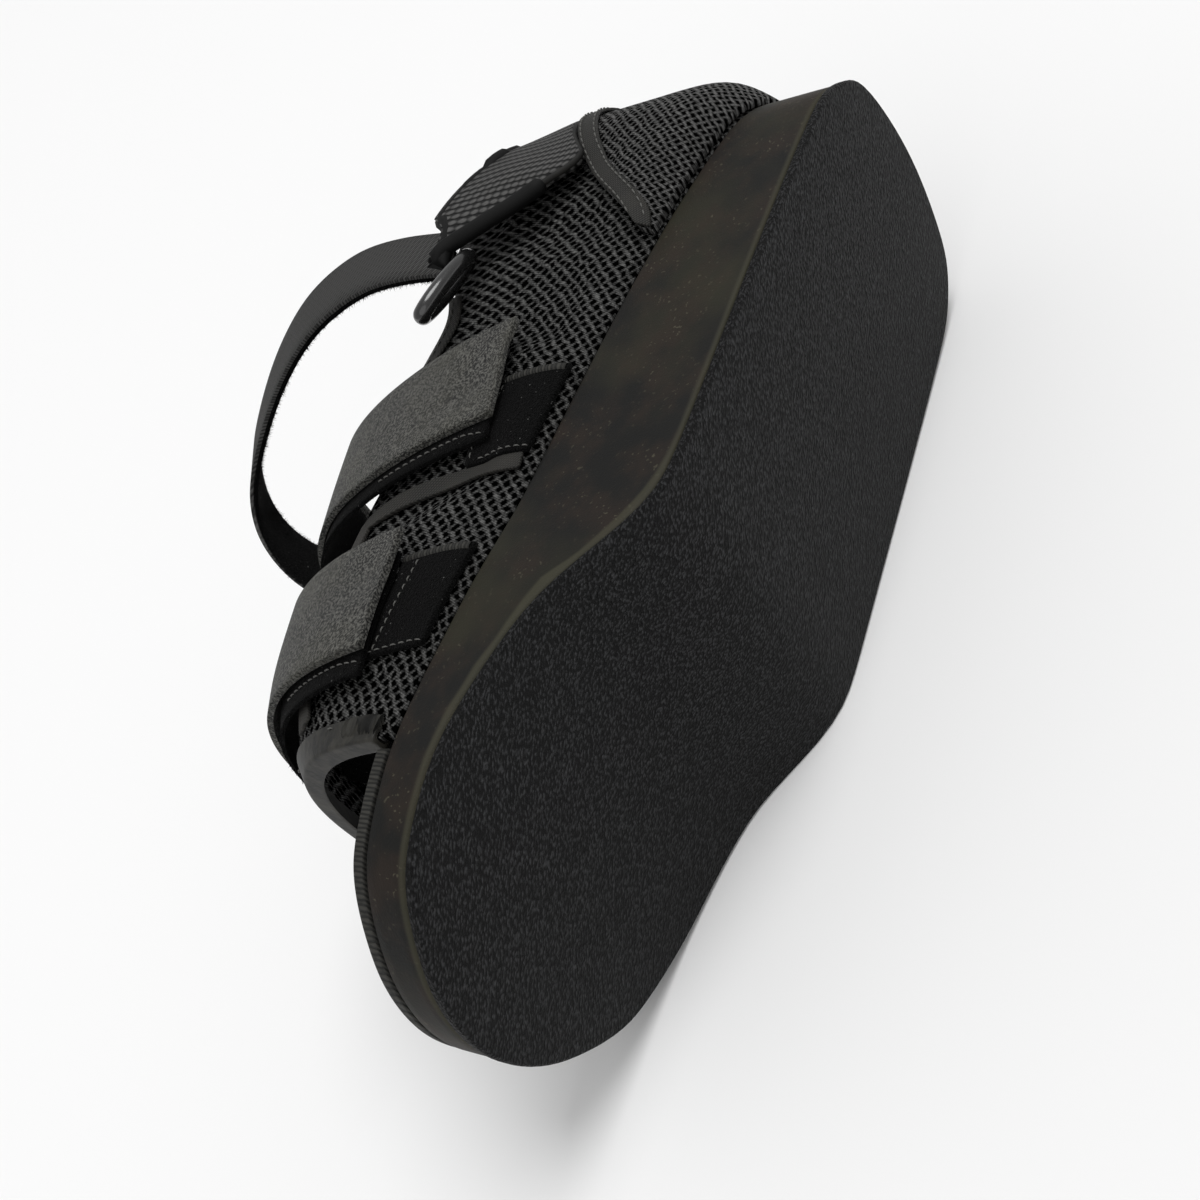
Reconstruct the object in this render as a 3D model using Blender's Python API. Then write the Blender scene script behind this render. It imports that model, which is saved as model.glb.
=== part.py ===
"""Post operative shoe with a wedge sole and a tall mesh upper, lying on its right side.

The shoe is modelled in its own frame: X runs from heel to toe, Y to the shoe's left and
Z up from the flat heel tread. An empty then lays the finished shoe on its side.
All sizes are in metres.
"""
import math

import bmesh
import bpy
import numpy as np
from mathutils import Vector

# Sole
LENGTH = 0.285
HEEL_WIDTH = 0.0937
WAIST_WIDTH = 0.099
BALL_WIDTH = 0.1106
HEEL_TOP = 0.0246          # top of the wedge at the heel
TOE_TOP = 0.0507           # top of the wedge at the toe
TREAD_FLAT = 0.151         # flat tread, from the heel to where it turns up
TOE_SPRING = 0.0348        # tread above the floor at the toe
OUTSOLE = 0.003
FOOTBED = 0.003
INSOLE = 0.004
INSOLE_INSET = 0.004       # the insole stops this far inside the board
SOLE_ROUND = 0.0012
OUTSOLE_ROUND = 0.0006
BOARD_ROUND = 0.0004
INSOLE_ROUND = 0.0012
OUTSOLE_LIP = 0.0004       # the tread sheet stands this far past the wedge
CLEAR = 0.0003
LAYER_GAP = 0.0007          # room for the flats of two faceted layers that follow each other

# Upper
UPPER_WALL = 0.002
UPPER_INSET = 0.0012       # the cloth stands just inside the wedge's top edge
INSTEP_HEIGHT = 0.104      # crown of the upper above the wedge
TOE_EDGE = 0.2320          # foot of the toe opening, from the heel
HEEL_CENTRE = 0.046        # the heel's sections fan out from here
HEEL_BULGE = 0.0085
BULGE_RISE = 0.014         # the bulge is full this far above the wedge
TOE_LEAN = 0.12            # how far the toe opening leans forward for its height

# Pieces on the upper
COUNTER = 0.0022
COUNTER_HEIGHT = 0.065
COUNTER_REACH = 0.072
HEEL_COLUMNS = 33          # columns of points round the heel's cup, and then round the belt
BELT_COLUMNS = 37
TAPE = 0.001
TAPE_WIDTH = 0.008
COLLAR_TAPE = (0.080, 0.150)   # where the collar's tape starts and ends, from the heel
TOE_TAPE = 0.005
EDGE_TAPE_INSET = 0.0006
EDGE_TAPE_STEPS = 33
PIPING_WIDTH = 0.005
PIPING_STEPS = 25
BELT = 0.003
BELT_ENDS = (0.268421 * LENGTH, 0.203509 * LENGTH)   # where it ends at its foot and its top
BELT_FLARE = 0.0105
BELT_LOOSE = 0.55          # share of the belt, from the heel's back, that lies against the cloth
BELT_DROP = 0.35           # how far its top sinks for each step that it stands off
PAD = 0.0015
PAD_FOOT = 0.003
PAD_SLANT = 0.15
STRAP = 0.0018
STRAP_WIDTH = 0.0375
STRAP_LINING = 0.0012
LINING_SHIFT = 0.006
STRAP_STEPS = 27
STRAP_RIGHT_END = 0.010     # where a strap stops above the wedge on the right
ANKLE_WIDTH = 0.024
ANKLE_STRAP = 0.0014
ANKLE_LINING = 0.0012
RING_LENGTH = 0.034
RING_WIDTH = 0.015
RING_STOCK = 0.0058
RING_STEPS = 20            # points round the oval, and round its stock
STOCK_STEPS = 8
RING_AT = 0.0842           # the ring's middle: station, height above the wedge, distance out
RING_RISE = 0.0648
RING_OUT = 0.0090
RING_ALONG = (0.985, 0.170, 0.054)
RING_DOWN = (-0.076, 0.664, -0.745)

# Turn about X, Y and Z, in degrees, that lays the shoe on its right side: the sole's edge,
# the heel's cup and the front strap then lie on the floor together
LYING = (80.682, -0.890, 180.000)

SOLE_STATIONS = 42
UPPER_STATIONS = 33
UPPER_ROWS = 8
CLOSED = 0.999             # a section whose cloth climbs this far up its crown is closed

OUTLINE = (
    # share of length, width it follows, share of that width
    (0.00, HEEL_WIDTH, 0.000),
    (0.03, HEEL_WIDTH, 0.786),
    (0.10, HEEL_WIDTH, 1.000),
    (0.20, WAIST_WIDTH, 0.976),
    (0.32, WAIST_WIDTH, 0.994),
    (0.44, WAIST_WIDTH, 1.004),
    (0.56, WAIST_WIDTH, 1.020),
    (0.68, BALL_WIDTH, 0.980),
    (0.80, BALL_WIDTH, 1.000),
    (0.90, BALL_WIDTH, 0.880),
    (0.97, BALL_WIDTH, 0.511),
    (1.00, BALL_WIDTH, 0.000),
)

WEDGE_TOP = (
    # share of length, share of the rise from heel top to toe top
    (0.00, 0.000),
    (0.25, 0.544),
    (0.50, 0.778),
    (0.75, 0.874),
    (1.00, 1.000),
)

TREAD = (
    # share of the way from the flat's end to the toe, share of toe spring
    (0.000, 0.000),
    (0.075, 0.009),
    (0.362, 0.648),
    (0.680, 0.911),
    (1.000, 1.000),
)

UPPER_FORM = (
    # share of length, crown (of instep height), cloth's edge (of crown), fullness, bulge
    (0.000, 1.450, 0.570, 3.0, 1.00),
    (0.070, 1.430, 0.570, 3.0, 1.00),
    (0.160, 1.360, 0.615, 2.9, 0.80),
    (0.218, 1.290, 0.630, 2.8, 0.55),
    (0.274, 1.210, 0.590, 2.6, 0.45),
    (0.316, 1.150, 0.565, 2.5, 0.40),
    (0.361, 1.110, 0.600, 2.4, 0.35),
    (0.407, 1.080, 0.650, 2.3, 0.30),
    (0.490, 1.010, 0.645, 2.3, 0.30),
    (0.579, 0.930, 0.665, 2.3, 0.20),
    (0.667, 0.845, 0.700, 2.3, 0.10),
    (0.712, 0.795, 0.770, 2.3, 0.05),
    (0.744, 0.755, 1.000, 2.3, 0.00),
    (0.780, 0.650, 1.000, 2.3, 0.00),
    (0.840, 0.425, 1.000, 2.3, 0.00),
)

FORWARD_LEAN = (
    # share of length, share of the toe opening's lean
    (0.000, 0.0),
    (0.600, 0.0),
    (0.720, 0.4),
    (0.814, 1.0),
    (0.840, 1.1),
)

COUNTER_EDGE = (
    # share of the counter's reach, share of its height
    (0.00, 1.000),
    (0.22, 0.910),
    (0.37, 0.790),
    (0.56, 0.615),
    (0.73, 0.400),
    (0.86, 0.215),
    (1.00, 0.060),
)

BELT_FOOT = (
    # share of length, belt's lower edge above the wedge as a share of instep height
    (0.000, 0.650),
    (0.056, 0.600),
    (0.100, 0.530),
    (0.150, 0.420),
    (0.180, 0.470),
    (0.210, 0.560),
    (0.250, 0.690),
    (0.290, 0.720),
)

STRAPS = (
    # name, rear edge at the wedge (share of length), slant, then shares of instep height:
    # rear end, front end and loose rise, then columns and the gap between its plies
    ("mid", 0.3354, 0.27, 0.279, 0.163, 0.030, 3, 0.0005),
    ("front", 0.5930, 0.23, 0.260, 0.173, 0.015, 4, 0.0013),
)

PADS = (
    # name, rear edge at the wedge and width (shares of length), height (of instep height)
    ("mid", 0.4180, 0.1018, 0.231),
    ("front", 0.6240, 0.1053, 0.250),
)

FLAP_EDGE = (
    # x as a share of length, height above the wedge as a share of instep height
    (0.523, 0.040),
    (0.538, 0.290),
    (0.556, 0.500),
    (0.580, 0.585),
    (0.640, 0.570),
    (0.700, 0.545),
    (0.750, 0.480),
    (0.790, 0.405),
)

ANKLE_ROUTE = (
    # the strap's middle, from the left side of the collar over to the right: share of length,
    # share of the waist's width, height above the heel's wedge as a share of instep height
    (0.2189, 0.5080, 0.9173),
    (0.2130, 0.5200, 1.1385),
    (0.2140, 0.5051, 1.3596),
    (0.2456, 0.4646, 1.5615),
    (0.2807, 0.3535, 1.7635),
    (0.3228, 0.2020, 1.9462),
    (0.3684, 0.0505, 2.0663),
    (0.4175, -0.0808, 2.0279),
    (0.4579, -0.2020, 1.8404),
    (0.4632, -0.3434, 1.5615),
    (0.4105, -0.4545, 1.3115),
    (0.3158, -0.5101, 1.1192),
    (0.2189, -0.5080, 0.9173),
)
ANKLE_ACROSS = (0.86, 0.0, -0.51)

FINISHES = {
    # name: colour, roughness
    "rubber": ((0.020, 0.020, 0.021), 0.85),
    "foam": ((0.030, 0.029, 0.024), 0.80),
    "board": ((0.022, 0.022, 0.021), 0.70),
    "mesh": ((0.016, 0.016, 0.016), 0.75),
    "tape": ((0.040, 0.039, 0.036), 0.70),
    "webbing": ((0.055, 0.055, 0.052), 0.80),
    "pile": ((0.008, 0.008, 0.008), 0.95),
    "plastic": ((0.010, 0.010, 0.010), 0.25),
}


def curve_value(rows, at, column=1):
    """A smooth curve through one column of a table, with no overshoot between rows."""
    xs = np.array([row[0] for row in rows], float)
    ys = np.array([row[column] for row in rows], float)
    at = np.clip(at, xs[0], xs[-1])
    slope = np.diff(ys) / np.diff(xs)
    tangent = np.concatenate([[slope[0]], np.zeros(len(xs) - 2), [slope[-1]]])
    for i in range(1, len(xs) - 1):
        if slope[i - 1] * slope[i] > 0:
            tangent[i] = 2 * slope[i - 1] * slope[i] / (slope[i - 1] + slope[i])
    i = np.clip(np.searchsorted(xs, at, side="right") - 1, 0, len(xs) - 2)
    step = xs[i + 1] - xs[i]
    t = (at - xs[i]) / step
    return ((2 * t**3 - 3 * t**2 + 1) * ys[i] + (t**3 - 2 * t**2 + t) * step * tangent[i]
            + (3 * t**2 - 2 * t**3) * ys[i + 1] + (t**3 - t**2) * step * tangent[i + 1])


HALF_SQUARES = [(share, (width * part / 2) ** 2) for share, width, part in OUTLINE]


def half_width(x):
    """Half the sole's width at a distance from the heel."""
    return np.sqrt(np.maximum(curve_value(HALF_SQUARES, x / LENGTH), 0))


def wedge_top(x):
    """Height of the wedge's top."""
    return HEEL_TOP + (TOE_TOP - HEEL_TOP) * curve_value(WEDGE_TOP, x / LENGTH)


def tread(x):
    """Height of the tread, which is flat and then turns up to the toe."""
    return TOE_SPRING * curve_value(TREAD, (x - TREAD_FLAT) / (LENGTH - TREAD_FLAT))


EDGE_X = LENGTH * (1 - np.cos(np.linspace(0, np.pi, 801))) / 2
EDGE_RUN = np.concatenate([[0], np.cumsum(np.hypot(np.diff(EDGE_X), np.diff(half_width(EDGE_X))))])


def edge_x(run):
    """Where the sole's edge has got to after a run along it from the heel's back."""
    return float(np.interp(abs(run), EDGE_RUN, EDGE_X))


def edge_run(x):
    """How far along the sole's edge a distance from the heel is reached."""
    return float(np.interp(x, EDGE_X, EDGE_RUN))


def section_sizes(x):
    """Crown height, edge height, fullness and bulge of the upper's section at x."""
    crown, edge, fullness, bulge = (curve_value(UPPER_FORM, x / LENGTH, i) for i in (1, 2, 3, 4))
    return crown * INSTEP_HEIGHT, edge * crown * INSTEP_HEIGHT, fullness, bulge * HEEL_BULGE


def section_angle(x, rise):
    """The angle up a section's arch at which it has the given height."""
    crown, _, fullness, _ = section_sizes(x)
    return math.asin(min(1, max(rise, 0) / crown) ** (fullness / 2))


def form(x, side, angle, out=0.0, loose=0.0):
    """A point of the upper's outer form, or a distance out from it.

    x is where the section's foot stands on the sole's edge, side is 1 for left and -1 for
    right, and the angle climbs the arch from 0 at the foot to a right angle at the crown.
    """
    crown, _, fullness, bulge = section_sizes(x)
    foot = Vector((x, side * float(half_width(x)), 0))
    centre = Vector((max(x, HEEL_CENTRE), 0, 0))
    reach = (foot - centre).length
    outward = (foot - centre) / reach
    wide = reach - UPPER_INSET
    high = crown + loose
    across = max(math.cos(angle), 0) ** (2 / fullness) * wide
    rise = max(math.sin(angle), 0) ** (2 / fullness) * high
    normal = Vector((across ** (fullness - 1) / wide**fullness, rise ** (fullness - 1) / high**fullness))
    normal.normalize()
    swell = min(rise / BULGE_RISE, 1)
    across += bulge * swell * (2 - swell) + normal.x * out
    lean = TOE_LEAN * curve_value(FORWARD_LEAN, x / LENGTH)
    rise += normal.y * out
    inner_foot = centre + outward * (wide - UPPER_WALL)
    point = centre + outward * across
    point.x += lean * rise
    point.z = wedge_top(inner_foot.x) + 2 * CLEAR + rise
    return point


def wall(x, side, rise, out=0.0):
    """A point of the upper's form at a height above the wedge."""
    return form(x, side, section_angle(x, rise), out)


def finish(name):
    """The plain material of a finish, made once."""
    if name in bpy.data.materials:
        return bpy.data.materials[name]
    material = bpy.data.materials.new(name)
    material.use_nodes = True
    shader = material.node_tree.nodes["Principled BSDF"]
    colour, roughness = FINISHES[name]
    shader.inputs["Base Color"].default_value = (*colour, 1)
    shader.inputs["Roughness"].default_value = roughness
    return material


def add_mesh(name, points, faces, material, soft_angle=40):
    """One object from points and faces, with its faces turned outwards."""
    mesh = bpy.data.meshes.new(name)
    mesh.from_pydata([tuple(p) for p in points], [], faces)
    work = bmesh.new()
    work.from_mesh(mesh)
    bmesh.ops.recalc_face_normals(work, faces=work.faces)
    work.to_mesh(mesh)
    work.free()
    mesh.shade_smooth()
    mesh.set_sharp_from_angle(angle=math.radians(soft_angle))
    mesh.materials.append(finish(material))
    obj = bpy.data.objects.new(name, mesh)
    collection.objects.link(obj)
    obj.parent = lying
    return obj


def plan_ring(inset, height, start=0.0, end=LENGTH):
    """The sole's outline drawn in by an inset, left side first, at a height for each x."""
    along = start + (end - start) * (1 - np.cos(np.linspace(0, np.pi, SOLE_STATIONS + 1))) / 2
    left = []
    for x in along:
        shrunk = LENGTH / 2 + (x - LENGTH / 2) * (1 - 2 * inset / LENGTH)
        half = float(half_width(x)) * (1 - 2 * inset / BALL_WIDTH)
        left.append(Vector((shrunk, half, height(shrunk))))
    right = [Vector((p.x, -p.y, p.z)) for p in left[-2:0:-1]]
    return left + right


def sole_layer(name, low, high, inset, material, rounding=SOLE_ROUND):
    """One layer of the sole: the outline between two heights, with its edges rounded."""
    rings = [
        plan_ring(inset + rounding, low),
        plan_ring(inset, lambda x: low(x) + rounding),
        plan_ring(inset, lambda x: high(x) - rounding),
        plan_ring(inset + rounding, high),
    ]
    count = len(rings[0])
    points = [p for ring in rings for p in ring]
    faces = []
    for r in range(len(rings) - 1):
        for i in range(count):
            j = (i + 1) % count
            faces.append((r * count + i, r * count + j, (r + 1) * count + j, (r + 1) * count + i))
    for base in (0, (len(rings) - 1) * count):
        faces.append((base, base + 1, base + count - 1))
        for i in range(1, count // 2 - 1):
            faces.append((base + i, base + i + 1, base + count - i - 1, base + count - i))
        tip = count // 2
        faces.append((base + tip - 1, base + tip, base + tip + 1))
    return add_mesh(name, points, faces, material)


def shell(name, outer, inner, material):
    """A solid between two grids of points, each a list of rows."""
    rows, columns = len(outer), len(outer[0])
    points = [p for row in outer for p in row] + [p for row in inner for p in row]
    half = rows * columns

    def index(row, column, layer):
        return layer * half + row * columns + column

    faces = []
    for r in range(rows - 1):
        for c in range(columns - 1):
            for layer in (0, 1):
                faces.append((index(r, c, layer), index(r + 1, c, layer),
                              index(r + 1, c + 1, layer), index(r, c + 1, layer)))
        for c in (0, columns - 1):
            faces.append((index(r, c, 0), index(r + 1, c, 0), index(r + 1, c, 1), index(r, c, 1)))
    for r in (0, rows - 1):
        for c in range(columns - 1):
            faces.append((index(r, c, 0), index(r, c + 1, 0), index(r, c + 1, 1), index(r, c, 1)))
    return add_mesh(name, points, faces, material)


def make_upper():
    """The hollow mesh shell. Left and right meet at the crown in the band behind the toe."""
    toe_run = edge_run(TOE_EDGE)
    runs = np.linspace(toe_run, -toe_run, 2 * UPPER_STATIONS + 1)
    last = len(runs) - 1
    points, ids, faces = [], {}, []
    for j, run in enumerate(runs):
        x, side = edge_x(run), 1 if run >= 0 else -1
        crown, edge, _, _ = section_sizes(x)
        top = section_angle(x, edge) if edge < CLOSED * crown else math.pi / 2
        for k in range(UPPER_ROWS + 1):
            for layer, out in ((0, 0.0), (1, -UPPER_WALL)):
                if k == UPPER_ROWS and top == math.pi / 2 and j > last // 2:
                    ids[j, k, layer] = ids[last - j, k, layer]
                    continue
                ids[j, k, layer] = len(points)
                points.append(form(x, side, top * k / UPPER_ROWS, out))
    for j in range(last):
        for k in range(UPPER_ROWS):
            for layer in (0, 1):
                faces.append((ids[j, k, layer], ids[j + 1, k, layer],
                              ids[j + 1, k + 1, layer], ids[j, k + 1, layer]))
        faces.append((ids[j, 0, 0], ids[j + 1, 0, 0], ids[j + 1, 0, 1], ids[j, 0, 1]))
        top = ids[j, UPPER_ROWS, 0], ids[j + 1, UPPER_ROWS, 0]
        if not {top, top[::-1]} & {(ids[last - j, UPPER_ROWS, 0], ids[last - j - 1, UPPER_ROWS, 0])}:
            faces.append((*top, ids[j + 1, UPPER_ROWS, 1], ids[j, UPPER_ROWS, 1]))
    for k in range(UPPER_ROWS):
        for j in (0, last):
            faces.append((ids[j, k, 0], ids[j, k + 1, 0], ids[j, k + 1, 1], ids[j, k, 1]))
    return add_mesh("upper", points, faces, "mesh")


def wrap(name, low, high, out, thick, material, stations, rows):
    """A layer on the outside of the heel, from the counter's left end round to its right."""
    grids = []
    for depth in (out + thick, out):
        grid = []
        for share in np.linspace(1, -1, stations):
            row = []
            for v in np.linspace(0, 1, rows):
                run = share * edge_run(COUNTER_REACH)
                x, side = edge_x(run), 1 if run >= 0 else -1
                rise = low(x) + (high(x) - low(x)) * v
                row.append(wall(x, side, rise, depth))
            grid.append(row)
        grids.append(grid)
    return shell(name, grids[0], grids[1], material)


def counter_top(x):
    """The top edge of the heel's cup above the wedge."""
    return COUNTER_HEIGHT * curve_value(COUNTER_EDGE, x / COUNTER_REACH)


def make_counter():
    """The mesh cup round the heel and the tape on its edge."""
    wrap("heel_counter", lambda x: 0.0, counter_top, LAYER_GAP, COUNTER, "mesh", HEEL_COLUMNS, 7)
    wrap("counter_binding", lambda x: max(counter_top(x) - TAPE_WIDTH, 0.0), counter_top,
         2 * LAYER_GAP + COUNTER, TAPE, "tape", HEEL_COLUMNS, 3)


def make_belt():
    """The knitted band round the collar. Its ends stand off the side to hold the ring."""
    def foot(x):
        return INSTEP_HEIGHT * curve_value(BELT_FOOT, x / LENGTH)

    def top(x):
        return section_sizes(x)[1]

    grids = []
    for thick in (BELT, 0.0):
        grid = []
        for share in np.linspace(1, -1, BELT_COLUMNS):
            row = []
            for v in np.linspace(0, 1, 5):
                end = BELT_ENDS[0] + (BELT_ENDS[1] - BELT_ENDS[0]) * v
                run = share * edge_run(end)
                x, side = edge_x(run), 1 if run >= 0 else -1
                flare = BELT_FLARE * max(0, abs(share) - BELT_LOOSE) / (1 - BELT_LOOSE)
                rise = foot(x) + (top(x) - BELT_DROP * flare - foot(x)) * v
                row.append(wall(x, side, rise, LAYER_GAP + flare + thick))
            grid.append(row)
        grids.append(grid)
    shell("collar_belt", grids[0], grids[1], "mesh")


def make_edge_tape(name, spans, material):
    """A folded tape over the upper's edge, for spans of (x, side) stations."""
    rings = []
    for x, side in spans:
        crown, edge, _, _ = section_sizes(x)
        low = section_angle(x, edge - TAPE_WIDTH / 2)
        top = section_angle(x, edge)
        ring = []
        for out, lip, upward in ((LAYER_GAP + TAPE, LAYER_GAP + TAPE, True),
                                 (-UPPER_WALL - LAYER_GAP - TAPE, LAYER_GAP + TAPE, False),
                                 (-UPPER_WALL - LAYER_GAP, LAYER_GAP, True),
                                 (LAYER_GAP, LAYER_GAP, False)):
            foot, head = form(x, side, low, out), form(x, side, top, out)
            head += (head - foot).normalized() * lip
            ring += [foot, head] if upward else [head, foot]
        rings.append(ring)
    sweep(name, rings, material)


def sweep(name, rings, material):
    """A solid through equal rings of points, with its two ends closed."""
    count = len(rings[0])
    points = [p for ring in rings for p in ring]
    faces = []
    for r in range(len(rings) - 1):
        for i in range(count):
            j = (i + 1) % count
            faces.append((r * count + i, r * count + j, (r + 1) * count + j, (r + 1) * count + i))
    for base in (0, (len(rings) - 1) * count):
        for i in range(count // 2 - 1):
            faces.append((base + i, base + i + 1, base + count - 2 - i, base + count - 1 - i))
    return add_mesh(name, points, faces, material)


def make_toe_binding():
    """The tape round the toe opening, from the left foot over the crown to the right."""
    rings = []
    start = section_angle(TOE_EDGE, FOOTBED + 4 * CLEAR)
    climbs = [start] + [math.pi / 2 * k / UPPER_ROWS for k in range(1, 2 * UPPER_ROWS)] + [math.pi - start]
    outer, inner = LAYER_GAP, -UPPER_WALL - LAYER_GAP
    for climb in climbs:
        side = 1 if climb <= math.pi / 2 else -1
        ring = []
        for out, ahead in ((outer + TAPE, -TOE_TAPE), (outer + TAPE, LAYER_GAP + TAPE),
                           (inner - TAPE, LAYER_GAP + TAPE), (inner - TAPE, -TOE_TAPE),
                           (inner, -TOE_TAPE), (inner, LAYER_GAP), (outer, LAYER_GAP), (outer, -TOE_TAPE)):
            ring.append(form(TOE_EDGE + ahead, side, min(climb, math.pi - climb), out))
        rings.append(ring)
    sweep("toe_binding", rings, "tape")


def make_flap_piping(name, side):
    """The tape on a flap's edge: up from the sole, along the throat and on to the toe."""
    path = []
    for share in np.linspace(0, 1, PIPING_STEPS):
        steps = share * (len(FLAP_EDGE) - 1)
        table = [(i, *row) for i, row in enumerate(FLAP_EDGE)]
        path.append(Vector((curve_value(table, steps) * LENGTH,
                            curve_value(table, steps, 2) * INSTEP_HEIGHT)))
    grids = []
    for out in (LAYER_GAP + TAPE, LAYER_GAP):
        grid = []
        for i, spot in enumerate(path):
            along = (path[min(i + 1, len(path) - 1)] - path[max(i - 1, 0)]).normalized()
            across = Vector((along.y, -along.x)) * PIPING_WIDTH
            row = [wall(spot.x + across.x * t, side, spot.y + across.y * t, out) for t in (0, 0.5, 1)]
            grid.append(row)
        grids.append(grid)
    shell(name, grids[0], grids[1], "tape")


def strap_point(at, slant, climb, out, loose):
    """A point on an arch that leans forward with its height, from left foot to right."""
    side = 1 if climb <= math.pi / 2 else -1
    angle = min(climb, math.pi - climb)
    x = at
    for _ in range(4):
        point = form(x, side, angle, out, loose)
        x += at + slant * (point.z - wedge_top(x)) - point.x
    return point


def make_strap(name, row, shift, out, thick, material):
    """One ply of a closing strap, from its cut end on the left over to the right side."""
    _, at, slant, rear_end, front_end, loose, columns, _ = row
    at *= LENGTH
    loose *= INSTEP_HEIGHT
    grids = []
    for depth in (out + thick, out):
        grid = []
        for v in np.linspace(0, 1, STRAP_STEPS):
            line = []
            for u in np.linspace(0, 1, columns):
                foot = at + shift + STRAP_WIDTH * u * math.hypot(1, slant)
                start = section_angle(foot, (rear_end + (front_end - rear_end) * u) * INSTEP_HEIGHT)
                end = math.pi - section_angle(foot, STRAP_RIGHT_END)
                line.append(strap_point(foot, slant, start + (end - start) * v, depth, loose * min(1, 4 * v)))
            grid.append(line)
        grids.append(grid)
    shell(name, grids[0], grids[1], material)


def make_closures():
    """Both closing straps with their linings, and the pads that they close on."""
    for row in STRAPS:
        lining_out = PAD + 2 * LAYER_GAP
        strap_out = lining_out + STRAP_LINING + row[-1]
        make_strap(row[0] + "_strap_lining", row, LINING_SHIFT, lining_out, STRAP_LINING, "pile")
        make_strap(row[0] + "_strap", row, 0.0, strap_out, STRAP, "webbing")
    for name, at, width, height in PADS:
        grids = []
        for out in (LAYER_GAP + PAD, LAYER_GAP):
            grids.append([[wall((at + width * u) * LENGTH + PAD_SLANT * rise, 1, rise, out)
                           for u in np.linspace(0, 1, 6)]
                          for rise in np.linspace(PAD_FOOT, height * INSTEP_HEIGHT, 6)])
        shell(name + "_pad", grids[0], grids[1], "pile")


def smooth_route(spots, steps):
    """Points read from a smooth curve through the route's own spots."""
    spots = [Vector(s) for s in spots]
    ends = [2 * spots[0] - spots[1]] + spots + [2 * spots[-1] - spots[-2]]
    route = []
    for i in range(1, len(ends) - 2):
        a, b, c, d = ends[i - 1:i + 3]
        for s in range(steps):
            t = s / steps
            route.append(0.5 * (2 * b + (c - a) * t + (2 * a - 5 * b + 4 * c - d) * t**2
                                + (3 * b - a - 3 * c + d) * t**3))
    return route + [spots[-1]]


def make_ankle_strap():
    """The webbing loop and its lining: one flat band across a smooth route."""
    spots = [(x * LENGTH, y * WAIST_WIDTH, HEEL_TOP + rise * INSTEP_HEIGHT) for x, y, rise in ANKLE_ROUTE]
    route = smooth_route(spots, 3)
    across = Vector(ANKLE_ACROSS).normalized() * ANKLE_WIDTH
    for name, out, thick, material in (("ankle_strap", 0.0, ANKLE_STRAP, "webbing"),
                                       ("ankle_strap_lining", -CLEAR - ANKLE_LINING, ANKLE_LINING, "pile")):
        grids = []
        for depth in (out + thick, out):
            grid = []
            for i, spot in enumerate(route):
                along = route[min(i + 1, len(route) - 1)] - route[max(i - 1, 0)]
                outward = along.cross(across).normalized()
                grid.append([spot + across * t + outward * depth for t in (-0.5, 0, 0.5)])
            grids.append(grid)
        shell(name, grids[0], grids[1], material)


def make_ring():
    """An oval of round plastic stock that the collar belt and the webbing share."""
    centre = wall(RING_AT, 1, RING_RISE, RING_OUT)
    along = Vector(RING_ALONG).normalized()
    down = Vector(RING_DOWN)
    down = (down - along * down.dot(along)).normalized()
    rings = []
    half_long, half_wide = (RING_LENGTH - RING_STOCK) / 2, (RING_WIDTH - RING_STOCK) / 2
    for turn in np.linspace(0, 2 * math.pi, RING_STEPS, endpoint=False):
        radial = along * math.cos(turn) * half_long + down * math.sin(turn) * half_wide
        outward = (along * math.cos(turn) / half_long + down * math.sin(turn) / half_wide).normalized()
        lift = along.cross(down)
        rings.append([centre + radial + (outward * math.cos(a) + lift * math.sin(a)) * RING_STOCK / 2
                      for a in np.linspace(0, 2 * math.pi, STOCK_STEPS, endpoint=False)])
    count = len(rings[0])
    points = [p for ring in rings for p in ring]
    faces = [(r * count + i, r * count + (i + 1) % count,
              (r + 1) % len(rings) * count + (i + 1) % count, (r + 1) % len(rings) * count + i)
             for r in range(len(rings)) for i in range(count)]
    add_mesh("ring", points, faces, "plastic", 60)


def make_sole():
    """Tread sheet, wedge, board and insole, one on another."""
    def outsole_top(x):
        return tread(x) + OUTSOLE

    def footbed_top(x):
        return wedge_top(x) + CLEAR + FOOTBED

    sole_layer("outsole", tread, outsole_top, 0.0, "rubber", OUTSOLE_ROUND)
    sole_layer("midsole", lambda x: outsole_top(x) + CLEAR, wedge_top, OUTSOLE_LIP, "foam")
    board_inset = UPPER_INSET + UPPER_WALL + LAYER_GAP + CLEAR
    sole_layer("footbed", lambda x: wedge_top(x) + CLEAR, footbed_top, board_inset, "board", BOARD_ROUND)
    sole_layer("insole", lambda x: footbed_top(x) + CLEAR, lambda x: footbed_top(x) + CLEAR + INSOLE,
               board_inset + INSOLE_INSET, "mesh", INSOLE_ROUND)


def make_toe_tape():
    """The ribbed tape that covers the footbed's edge in front of the upper."""
    rings = []
    start = edge_run(TOE_EDGE) + 4 * TAPE
    total = edge_run(LENGTH)
    for run in np.linspace(start, 2 * total - start, EDGE_TAPE_STEPS):
        side = 1 if run <= total else -1
        x = edge_x(run if run <= total else 2 * total - run)
        ring = []
        for inset, height in ((EDGE_TAPE_INSET, CLEAR), (UPPER_INSET + UPPER_WALL - CLEAR, CLEAR),
                              (UPPER_INSET + UPPER_WALL - CLEAR, CLEAR + FOOTBED),
                              (EDGE_TAPE_INSET, CLEAR + FOOTBED)):
            shrunk = LENGTH / 2 + (x - LENGTH / 2) * (1 - 2 * inset / LENGTH)
            half = float(half_width(x)) * (1 - 2 * inset / BALL_WIDTH)
            ring.append(Vector((shrunk, side * half, wedge_top(shrunk) + height)))
        rings.append(ring)
    sweep("edge_tape", rings, "tape")


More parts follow.
